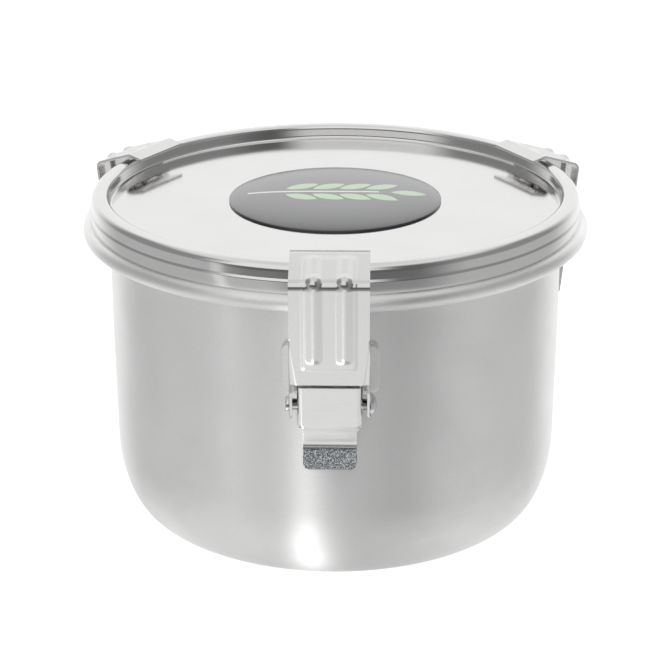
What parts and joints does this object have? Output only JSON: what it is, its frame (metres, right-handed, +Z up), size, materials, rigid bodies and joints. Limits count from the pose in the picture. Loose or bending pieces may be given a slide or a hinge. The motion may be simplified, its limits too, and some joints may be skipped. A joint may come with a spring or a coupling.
{
  "type": "latched food canister",
  "caption": "Round stainless food canister with a dished lid, a silicone seal and over-centre draw latches round the wall.",
  "frame": {"origin": "centre of the flat base, where the canister stands", "axes": "+Z up along the canister's axis; one latch faces -Y, the other two face 30 degrees and 150 degrees from +X"},
  "size_m": [0.1214, 0.1258, 0.0811],
  "materials": {
    "vessel_steel": "satin stainless",
    "lid_steel": "polished stainless",
    "silicone": "translucent white silicone",
    "badge_print": "printed foil",
    "badge_resin": "clear resin dome over a dark print",
    "badge_mark": "printed ear of grain",
    "latch_steel": "pressed stainless",
    "pin_steel": "stainless rivet"
  },
  "bodies": {
    "vessel_body": {"vessel": "vessel_steel", "front_bracket": "latch_steel", "front_lever_pin": "pin_steel", "right_bracket": "latch_steel", "right_lever_pin": "pin_steel", "left_bracket": "latch_steel", "left_lever_pin": "pin_steel"},
    "lid_body": {"lid": "lid_steel", "gasket": "silicone", "badge_disc": "badge_print", "badge_dome": "badge_resin", "badge_motif": "badge_mark"},
    "front_lever_body": {"front_lever": "latch_steel"},
    "front_hook_body": {"front_hook_plate": "latch_steel", "front_hook_pin": "pin_steel"},
    "right_lever_body": {"right_lever": "latch_steel"},
    "right_hook_body": {"right_hook_plate": "latch_steel", "right_hook_pin": "pin_steel"},
    "left_lever_body": {"left_lever": "latch_steel"},
    "left_hook_body": {"left_hook_plate": "latch_steel", "left_hook_pin": "pin_steel"}
  },
  "joints": [
    {"name": "front_lever_swing", "type": "hinge", "parent": "vessel_body", "child": "front_lever_body", "pos_m": [0, -0.0587, 0.0556], "axis": [-1, 0, 0], "range_deg": [0, 75]},
    {"name": "front_hook_swing", "type": "hinge", "parent": "front_lever_body", "child": "front_hook_body", "pos_m": [0, -0.0585, 0.0474], "axis": [1, 0, 0], "range_deg": [0, 135]},
    {"name": "right_lever_swing", "type": "hinge", "parent": "vessel_body", "child": "right_lever_body", "pos_m": [0.05084, 0.02935, 0.0556], "axis": [0.5, -0.866, 0], "range_deg": [0, 75]},
    {"name": "right_hook_swing", "type": "hinge", "parent": "right_lever_body", "child": "right_hook_body", "pos_m": [0.05066, 0.02925, 0.0474], "axis": [-0.5, 0.866, 0], "range_deg": [0, 135]},
    {"name": "left_lever_swing", "type": "hinge", "parent": "vessel_body", "child": "left_lever_body", "pos_m": [-0.05084, 0.02935, 0.0556], "axis": [0.5, 0.866, 0], "range_deg": [0, 75]},
    {"name": "left_hook_swing", "type": "hinge", "parent": "left_lever_body", "child": "left_hook_body", "pos_m": [-0.05066, 0.02925, 0.0474], "axis": [-0.5, -0.866, 0], "range_deg": [0, 135]},
    {"name": "lid_lift", "type": "slide", "parent": "vessel_body", "child": "lid_body", "axis": [0, 0, 1], "range_m": [0, 0.007]}
  ],
  "couplings": [
    {"joint": "front_hook_swing", "follows": "front_lever_swing", "ratio": 1.8},
    {"joint": "right_lever_swing", "follows": "front_lever_swing", "ratio": 1},
    {"joint": "right_hook_swing", "follows": "front_lever_swing", "ratio": 1.8},
    {"joint": "left_lever_swing", "follows": "front_lever_swing", "ratio": 1},
    {"joint": "left_hook_swing", "follows": "front_lever_swing", "ratio": 1.8},
    {"joint": "lid_lift", "follows": "front_lever_swing", "m_per_rad": 0.0053}
  ]
}
